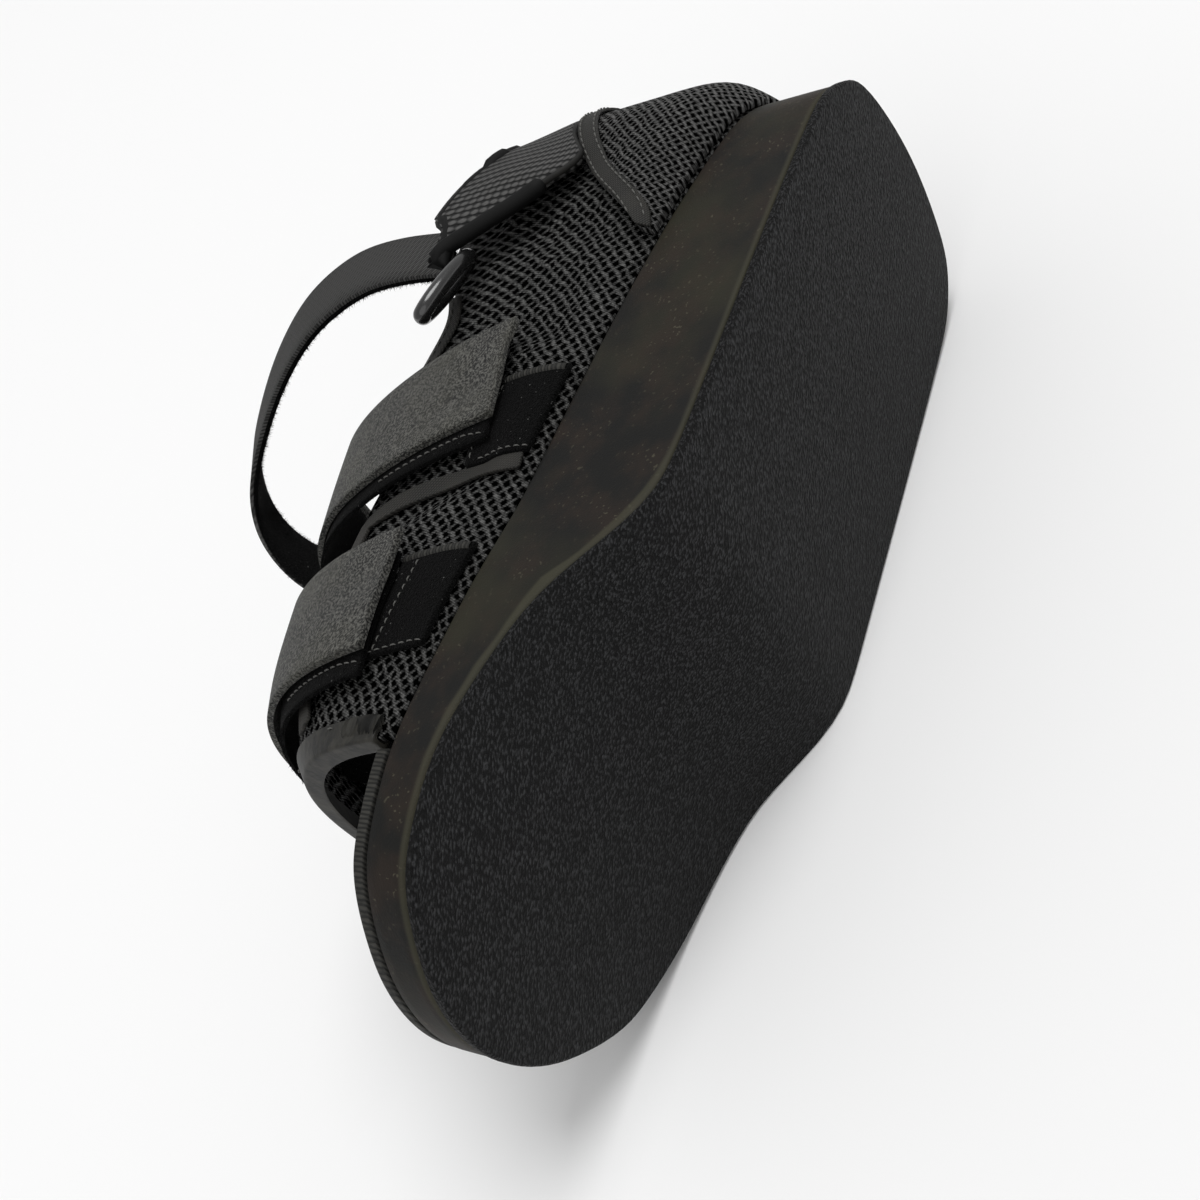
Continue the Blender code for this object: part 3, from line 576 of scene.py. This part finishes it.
# %% Glossy plastic
ring_plastic, tree, shader, flat, place = new_material("ring plastic", 0.2, (0.008, 0.008, 0.008, 1), 0.5)
smears = calc(tree, "MULTIPLY", noise(tree, place, 0.5, 3.0), 0.25)
join(tree, shader, "Roughness", calc(tree, "ADD", 0.12, smears))
shader.inputs["Coat Weight"].default_value = 0.6
shader.inputs["Coat Roughness"].default_value = 0.08
emboss(tree, shader, noise(tree, place, 0.15, 2.0), 0.0002, 0.4)

# %% [markdown]
# ## The belt's lower edge
# The knit stretches, so the belt hangs a little lower at its ends than its pattern. The
# lower edge is drawn down by a few millimetres, and the top stays where it is.

# %% Let the belt hang
BELT_DROP = 5.0        # how far the lower edge comes down at the ends, in mm
BELT_OUT = 0.7
BELT_SPOTS = range(-10, 76, 2)
BELT_START = 5.0       # the drop begins here, and is full this much further along
BELT_REACH = 35.0


def widen(piece):
    """Draw the belt's lower edge down, more towards its ends."""
    places = in_shoe(points_of(piece.data))
    low = [places[np.abs(places[:, 0] - x) < 4, 2].min() for x in BELT_SPOTS]
    high = [places[np.abs(places[:, 0] - x) < 4, 2].max() for x in BELT_SPOTS]
    foot = np.interp(places[:, 0], BELT_SPOTS, low)
    head = np.interp(places[:, 0], BELT_SPOTS, high)
    share = np.clip((head - places[:, 2]) / (head - foot), 0, 1)
    share = share * np.clip((places[:, 0] - BELT_START) / BELT_REACH, 0, 1)
    places[:, 2] -= BELT_DROP * share
    places[:, 1] += np.sign(places[:, 1]) * BELT_OUT * share
    move_points(piece.data, places)


# %% [markdown]
# ## Dress the pieces
# One table says which finer copy stands for each CAD piece, how it is mapped and which cloth
# it has. It also lists a record slot for each piece.

# %% Dress the pieces
PIECES = (
    # CAD node, subdivisions, crease, flat map, material, record slot
    ("outsole", 1, 1.0, wrapped, tread_rubber, "rubber"),
    ("midsole", 2, 0.85, soled, wedge_foam, "foam"),
    ("footbed", 1, 1.0, wrapped, board, "board"),
    ("insole", 1, 0.8, wrapped, inner_net, "mesh"),
    ("edge_tape", 2, 0.5, wrapped, ribbed_tape, "tape"),
    ("upper", 2, 1.0, wrapped, upper_net, "mesh"),
    ("heel_counter", 2, 0.9, wrapped, heel_net, "mesh"),
    ("counter_binding", 2, 0.7, wrapped, folded_tape, "tape"),
    ("collar_belt", 2, 0.9, wrapped, belt_knit, "mesh"),
    ("collar_binding_left", 2, 0.6, wrapped, folded_tape, "tape"),
    ("collar_binding_right", 2, 0.6, wrapped, folded_tape, "tape"),
    ("flap_piping_left", 2, 0.6, wrapped, folded_tape, "tape"),
    ("flap_piping_right", 2, 0.6, wrapped, folded_tape, "tape"),
    ("toe_binding", 3, 0.55, wrapped, smooth_tape, "tape"),
    ("mid_strap", 3, 1.0, strapped, strap_cloth, "webbing"),
    ("mid_strap_lining", 3, 1.0, strapped, black_pile, "pile"),
    ("front_strap", 3, 1.0, strapped, strap_cloth, "webbing"),
    ("front_strap_lining", 3, 1.0, strapped, black_pile, "pile"),
    ("mid_pad", 2, 0.9, wrapped, black_pile, "pile"),
    ("front_pad", 2, 0.9, wrapped, black_pile, "pile"),
    ("ring", 2, 0.0, wrapped, ring_plastic, "plastic"),
    ("ankle_strap", 2, 1.0, looped, ankle_twill, "webbing"),
    ("ankle_strap_lining", 2, 1.0, looped, black_pile, "pile"),
)

made_pieces = {}
FLATTEN = {row[0]: row[3] for row in PIECES}
for node, levels, crease, flatten, material, slot in PIECES:
    piece = finer(node, node + "_finished", levels, crease=crease)
    lay_map(piece, flatten)
    if node == "collar_belt":
        widen(piece)
    if node in GIVING:
        give(piece)
    piece.data.materials.append(material)
    made_pieces[node] = piece
print("faces", sum(len(piece.data.polygons) for piece in made_pieces.values()))

# %% [markdown]
# ## Seams
# A seam follows its piece, so its places are read from the piece's flat map: it runs along
# the map at a share of the way between the piece's two edges. A painted line would have no
# relief, so each stitch is a small spindle of thread that dips into the cloth at both ends.

# %% Find places on a finished piece
FACING = 0.4           # a face is an outer one when it faces outward by more than this
MIDDLE_SLACK = 1.5     # a side's faces reach this far past the middle, in mm
BIN_LENGTH = 5.0       # a seam's edges are measured once in this length


def outer_face(node, side):
    """The outer face of one side of a piece: flat map, places in the shoe's frame, search tree."""
    mesh = made_pieces[node].data
    places = in_shoe(points_of(mesh))
    flat = FLATTEN[node](places)
    mesh.calc_loop_triangles()
    triangles = np.array([t.vertices for t in mesh.loop_triangles])
    a, b, c = (places[triangles[:, i]] for i in range(3))
    middle = (a + b + c) / 3
    axis = middle * (1, 0, 0)
    axis[:, 0] = np.maximum(axis[:, 0], HEEL_TURN)
    axis[:, 2] = ARCH_FLOOR
    out = np.einsum("ij,ij->i", np.cross(b - a, c - a), middle - axis)
    spread = np.linalg.norm(np.cross(b - a, c - a), axis=1) * np.linalg.norm(middle - axis, axis=1)
    wanted = triangles[(out > FACING * spread) & (middle[:, 1] * side > -MIDDLE_SLACK)]
    tree = BVHTree.FromPolygons([(u, v, 0.0) for u, v in flat], wanted.tolist())
    return flat, places, wanted, tree


def on_face(face, u, v):
    """The place and normal of the outer face at a spot of its flat map."""
    flat, places, triangles, tree = face
    hit, _, index, _ = tree.find_nearest((u, v, 0.0))
    corners = triangles[index]
    here = [Vector((*flat[i], 0.0)) for i in corners]
    there = [Vector(places[i]) for i in corners]
    place = barycentric_transform(hit, *here, *there)
    normal = (there[1] - there[0]).cross(there[2] - there[0]).normalized()
    return place, normal


def seam(node, side, runs, share, start, end, step=2.0):
    """Places and normals along a seam.

    runs is 0 for a seam along the map's first direction and 1 for its second. share is how
    far it lies between the piece's two edges. start and end are shares of its length.
    """
    face = outer_face(node, side)
    flat = face[0][np.unique(face[2])]
    low, high = flat[:, runs].min(), flat[:, runs].max()
    bins = np.linspace(low, high, 1 + max(4, int((high - low) / BIN_LENGTH)))
    middles, edges = [], []
    for left, right in zip(bins[:-1], bins[1:]):
        inside = flat[(flat[:, runs] >= left) & (flat[:, runs] <= right), 1 - runs]
        if len(inside):
            middles.append((left + right) / 2)
            edges.append((inside.min(), inside.max()))
    edges = np.array(edges)
    line = edges[:, 0] + (edges[:, 1] - edges[:, 0]) * share
    places = []
    for at in np.arange(low + (high - low) * start, low + (high - low) * end, step / 4):
        spot = [0.0, 0.0]
        spot[runs], spot[1 - runs] = at, np.interp(at, middles, line)
        places.append(on_face(face, *spot))
    return places


# %% [markdown]
# ### Stitches
# A stitch is a six-sided spindle, about 2 mm long, with a gap before the next one. The table
# says where each row of them runs.

# %% Sew the seams
def by_length(places, step):
    """Every place along a seam that is one step further than the last."""
    kept = [places[0]]
    for place in places:
        if (place[0] - kept[-1][0]).length >= step:
            kept.append(place)
    return kept


SPINDLE_SIDES = 6
SPINDLE_RINGS = (
    # share along the stitch, share of its radius, share of its rise
    (0.04, 0.35, -0.25),
    (0.25, 1.0, 0.75),
    (0.75, 1.0, 0.75),
    (0.96, 0.35, -0.25),
)


def heading(spots, i):
    """The way that a seam runs at one of its places."""
    return (spots[min(i + 1, len(spots) - 1)][0] - spots[max(i - 1, 0)][0]).normalized()


def around(centre, across, up, size, sides):
    """Row-frame points on a circle about a centre in the shoe's frame."""
    turns = [2 * math.pi * k / sides for k in range(sides)]
    return [in_row(centre + (across * math.cos(t) + up * math.sin(t)) * size) for t in turns]


def round_skin(base, rings, sides):
    """Faces that close a row of rings, and both of its ends."""
    skin = []
    for ring in range(rings - 1):
        first = base + ring * sides
        for k in range(sides):
            n = (k + 1) % sides
            skin.append((first + k, first + n, first + sides + n, first + sides + k))
    last = base + (rings - 1) * sides
    skin.append(tuple(base + k for k in range(sides - 1, -1, -1)))
    skin.append(tuple(last + k for k in range(sides)))
    return skin


def spindle(points, faces, one, other, normal, radius, rise):
    """Add one stitch between two places."""
    along = (other - one).normalized()
    across = normal.cross(along).normalized()
    base = len(points)
    for share, size, lift in SPINDLE_RINGS:
        centre = one.lerp(other, share) + normal * rise * lift
        points += around(centre, across, normal, radius * size, SPINDLE_SIDES)
    faces += round_skin(base, len(SPINDLE_RINGS), SPINDLE_SIDES)


def add_piece(name, points, faces, material):
    """A visual piece from row-frame points, riding with the shoe."""
    mesh = bpy.data.meshes.new(name)
    mesh.from_pydata([tuple(p) for p in points], [], faces)
    mesh.shade_smooth()
    mesh.materials.append(material)
    piece = bpy.data.objects.new(name, mesh)
    bpy.context.scene.collection.objects.link(piece)
    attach(piece, "root")
    return piece


sewing_thread, tree, shader, flat, place = new_material("sewing thread", 0.6)
fuzz = noise(tree, place, 2.5, 2.0)
join(tree, shader, "Base Color", blend(tree, fuzz, (0.030, 0.030, 0.029, 1), (0.150, 0.148, 0.138, 1)))

SEAMS = (
    # piece, side, direction, share between the edges, start, end, stitch length, radius
    ("counter_binding", 1, 0, 0.24, 0.02, 0.985, 2.1, 0.26),
    ("counter_binding", 1, 0, 0.76, 0.02, 0.985, 2.1, 0.26),
    ("counter_binding", -1, 0, 0.24, 0.02, 0.985, 2.1, 0.26),
    ("counter_binding", -1, 0, 0.76, 0.02, 0.985, 2.1, 0.26),
    ("collar_binding_left", 1, 0, 0.35, 0.03, 0.97, 2.1, 0.24),
    ("collar_binding_right", -1, 0, 0.35, 0.03, 0.97, 2.1, 0.24),
    ("toe_binding", 1, 1, 0.22, 0.04, 0.99, 2.0, 0.24),
    ("toe_binding", -1, 1, 0.22, 0.04, 0.99, 2.0, 0.24),
    ("front_strap_lining", 1, 1, 0.87, 0.03, 0.45, 1.8, 0.22),
    ("mid_strap_lining", 1, 1, 0.90, 0.03, 0.45, 1.8, 0.22),
    ("mid_pad", 1, 0, 0.93, 0.03, 0.97, 1.7, 0.2),
    ("front_pad", 1, 0, 0.70, 0.03, 0.97, 1.7, 0.2),
    ("mid_pad", 1, 1, 0.95, 0.05, 0.9, 1.7, 0.2),
    ("front_pad", 1, 1, 0.95, 0.05, 0.9, 1.7, 0.2),
)
STITCH_STEP = 1.35     # from stitch to stitch, as a share of a stitch's length
STITCH_SHARE = 0.78    # how much of that step is thread
STITCH_BREAK = 3.0     # no stitch crosses a break longer than this many lengths
STITCH_RISE = 0.36
groups = {}
for node, side, runs, share, start, end, length, radius in SEAMS:
    spots = by_length(seam(node, side, runs, share, start, end), length * STITCH_STEP)
    points, faces = groups.setdefault(node, ([], []))
    for (one, normal), (other, _) in zip(spots[:-1], spots[1:]):
        if (other - one).length < length * STITCH_BREAK:
            spindle(points, faces, one, one.lerp(other, STITCH_SHARE), normal, radius, STITCH_RISE)
for node, (points, faces) in groups.items():
    add_piece(node + "_stitches", points, faces, sewing_thread)
    print(node, "stitches", len(points) // (SPINDLE_SIDES * len(SPINDLE_RINGS)))

# %% [markdown]
# ### Rolled edges
# The belt's lower edge and its ends are turned in and sewn, which leaves a soft round roll.
# A tube along the seam makes the roll, and its ends close.

# %% Roll the belt's edges
ROLL_SIDES = 10


def tube(name, places, radius, lift, material):
    """A round roll along a seam."""
    points = []
    spots = by_length(places, 1.5)
    for i, (spot, normal) in enumerate(spots):
        along = heading(spots, i)
        across = normal.cross(along).normalized()
        up = along.cross(across)
        size = radius * (0.4 if i in (0, len(spots) - 1) else 1.0)
        points += around(spot + normal * lift, across, up, size, ROLL_SIDES)
    return add_piece(name, points, round_skin(0, len(spots), ROLL_SIDES), material)


for side, hand, top, end_roll in ((1, "left", 0.99, 2.6), (-1, "right", 0.70, 1.8)):
    foot_seam = seam("collar_belt", side, 0, 0.0, 0.02, 0.97)
    end_seam = seam("collar_belt", side, 1, 1.0, 0.06, top)
    tube("belt_foot_roll_" + hand, foot_seam, 1.1, -1.2, folded_tape)
    tube("belt_end_roll_" + hand, end_seam, end_roll, -1.4, belt_knit)

# %% [markdown]
# ### Selvedges and the toe tape's tail
# A pad of pile is cut from a band with a woven, ribbed edge, which shows along its rear
# side. The toe tape ends in a folded tail on the wedge's edge. Both are thin strips laid on
# the cloth along a seam, with a slight crown across them.

# %% Lay thin strips
STRIP_POINTS = 7       # points across a strip


def strip(name, places, width, crown, material):
    """A thin crowned strip centred on a seam, with its own flat map in millimetres."""
    points, faces, flat = [], [], []
    spots = by_length(places, 1.0)
    for i, (spot, normal) in enumerate(spots):
        along = heading(spots, i)
        across = normal.cross(along).normalized()
        for share in np.linspace(-0.5, 0.5, STRIP_POINTS):
            lift = crown * (1 - (2 * share) ** 4) - 0.2
            points.append(in_row(spot + across * width * share + normal * lift))
            flat.append((i * 1.0, share * width))
    for i in range(len(spots) - 1):
        for k in range(i * STRIP_POINTS, (i + 1) * STRIP_POINTS - 1):
            faces.append((k, k + 1, k + STRIP_POINTS + 1, k + STRIP_POINTS))
    piece = add_piece(name, points, faces, material)
    layer = piece.data.uv_layers.new(name="cloth")
    for loop in piece.data.loops:
        layer.data[loop.index].uv = flat[loop.vertex_index]
    return piece


strip("mid_pad_selvedge", seam("mid_pad", 1, 1, 0.04, 0.03, 0.97), 2.4, 0.7, ribbed_tape)
strip("front_pad_selvedge", seam("front_pad", 1, 1, 0.04, 0.03, 0.97), 2.4, 0.7, ribbed_tape)
strip("toe_tape_tail", seam("toe_binding", 1, 1, 0.35, 0.0, 0.14), 5.6, 1.3, ribbed_tape)

# %% [markdown]
# ### Pile at the cut edges
# The black linings are pile. Their fibres stand past the webbing's cut edges, and cover the
# ankle strap's inner face. Each fibre is a thin three-sided spike that grows from the CAD
# piece; hair particles would not travel with the mesh.

# %% Fibres along the linings' rims
RIMS = (
    # piece, fibre length, fibres on each square millimetre of rim, and of inner face
    ("ankle_strap_lining", 1.7, 9.0, 1.0),
    ("mid_strap_lining", 0.8, 4.0, 0.0),
    ("front_strap_lining", 0.8, 4.0, 0.0),
)
LOOP_CENTRE = Vector((95.0, 0.0, LOOP_MIDDLE))
RIM_HEIGHT = 1.35      # a rim's triangles have one side no longer than the lining is thick
FIBRE_FOOT = 0.09
FIBRE_LEAN = 0.42
chance = np.random.default_rng(7)
points, faces = [], []
for node, length, rim_density, face_density in RIMS:
    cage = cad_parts[node].data
    places = in_shoe(points_of(cage))
    if node in GIVING:
        places = press(places)
    cage.calc_loop_triangles()
    for triangle in cage.loop_triangles:
        a, b, c = (Vector(places[i]) for i in triangle.vertices)
        normal = (b - a).cross(c - a)
        density = rim_density
        if min((a - b).length, (b - c).length, (c - a).length) > RIM_HEIGHT:
            density = face_density if normal.dot(LOOP_CENTRE - a) > 0 else 0.0
        area = normal.length / 2
        normal.normalize()
        for _ in range(chance.poisson(area * density)):
            u, v = sorted(chance.random(2))
            root = a * u + b * (v - u) + c * (1 - v)
            lean = normal + Vector(chance.normal(0, FIBRE_LEAN, 3))
            tip = root + lean.normalized() * length * chance.uniform(0.35, 1.15)
            side = normal.orthogonal().normalized() * FIBRE_FOOT
            other = normal.cross(side)
            base = len(points)
            points += [in_row(root + side), in_row(root - side), in_row(root + other), in_row(tip)]
            faces += [(base, base + 1, base + 3), (base + 1, base + 2, base + 3), (base + 2, base, base + 3)]
add_piece("pile_fibres", points, faces, black_pile)
print("fibres", len(points) // 4)

# %% [markdown]
# ## Floor, light and camera
# The studio is a pale floor under soft light. The camera stands where the photograph's view
# of the shoe needs it: three axes and a place in the shoe's own frame.

# %% Floor and light
FLOOR_SIZE = 60        # metres, so that its edge is far beyond the camera's view
FLOOR_PALE = (0.86, 0.86, 0.86, 1)
ROOM_LIGHT = 0.55
bpy.ops.mesh.primitive_plane_add(size=FLOOR_SIZE)
floor = bpy.context.object
floor.name = "floor"
floor_paint = bpy.data.materials.new("floor paint")
floor_paint.use_nodes = True
floor_shader = floor_paint.node_tree.nodes["Principled BSDF"]
floor_shader.inputs["Base Color"].default_value = FLOOR_PALE
floor_shader.inputs["Roughness"].default_value = 0.9
floor.data.materials.append(floor_paint)

world = bpy.data.worlds.new("studio")
world.use_nodes = True
world.node_tree.nodes["Background"].inputs[0].default_value = (1, 1, 1, 1)
world.node_tree.nodes["Background"].inputs[1].default_value = ROOM_LIGHT
bpy.context.scene.world = world

SUNS = (
    # name, direction it shines from, strength, softness in degrees
    ("key", (0.35, -0.40, 1.0), 1.75, 35),
    ("left fill", (-1.0, -0.50, 0.7), 0.55, 60),
)
for name, source, strength, softness in SUNS:
    light = bpy.data.lights.new(name, "SUN")
    light.energy = strength
    light.angle = math.radians(softness)
    lamp = bpy.data.objects.new(name, light)
    bpy.context.scene.collection.objects.link(lamp)
    lamp.rotation_euler = Vector(source).to_track_quat("Z", "Y").to_euler()

# %% Camera
CAMERA_RIGHT = (-0.324950, -0.520492, -0.789617)
CAMERA_UP = (-0.838445, 0.544804, -0.014073)
CAMERA_BACK = (0.437512, 0.657478, -0.613438)
CAMERA_PLACE = (322.423, 243.491, -172.561)
CAMERA_LENS = 40.0
camera_data = bpy.data.cameras.new("photo view")
camera_data.sensor_width = 36
camera_data.lens = CAMERA_LENS
camera = bpy.data.objects.new("photo view", camera_data)
bpy.context.scene.collection.objects.link(camera)
turn = shoe_to_row.to_3x3() * 1000
axes = Matrix([turn @ Vector(axis) for axis in (CAMERA_RIGHT, CAMERA_UP, CAMERA_BACK)]).transposed()
camera.matrix_world = Matrix.Translation(in_row(CAMERA_PLACE)) @ axes.to_4x4()
bpy.context.scene.camera = camera
bpy.context.scene.view_settings.view_transform = "Standard"
